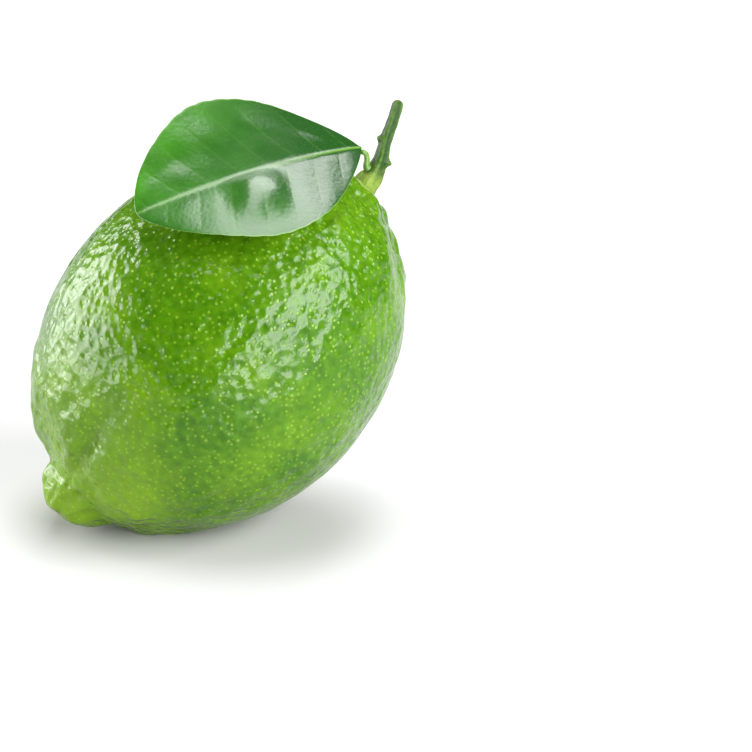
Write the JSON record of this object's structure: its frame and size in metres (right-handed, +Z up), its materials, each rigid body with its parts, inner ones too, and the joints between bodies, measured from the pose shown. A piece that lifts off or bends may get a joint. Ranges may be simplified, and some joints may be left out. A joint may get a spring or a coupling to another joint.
{
  "type": "lime",
  "caption": "Whole fresh lime with a pointed nipple end, a short cut twig and one leaf, resting on the flat spot of its belly.",
  "frame": {"origin": "middle of the flat resting spot under the fruit's belly, on the surface that the lime stands on", "axes": "+Z up from the surface, +X the way the stem end leans, so that the fruit's axis lies in the XZ plane with the nipple end low at -X, and +Y to the side away from the leaf's near half"},
  "size_m": [0.0632, 0.0542, 0.0692],
  "materials": {
    "skin": "glossy green rind with oil gland dots",
    "calyx": "satin pale yellow-green",
    "twig": "satin dark green bark",
    "petiole": "satin light green",
    "leaf": "waxy dark green"
  },
  "bodies": {
    "root": {"fruit": "skin", "calyx": "calyx", "stem": "twig", "petiole": "petiole", "leaf_blade": "leaf"}
  },
  "joints": []
}
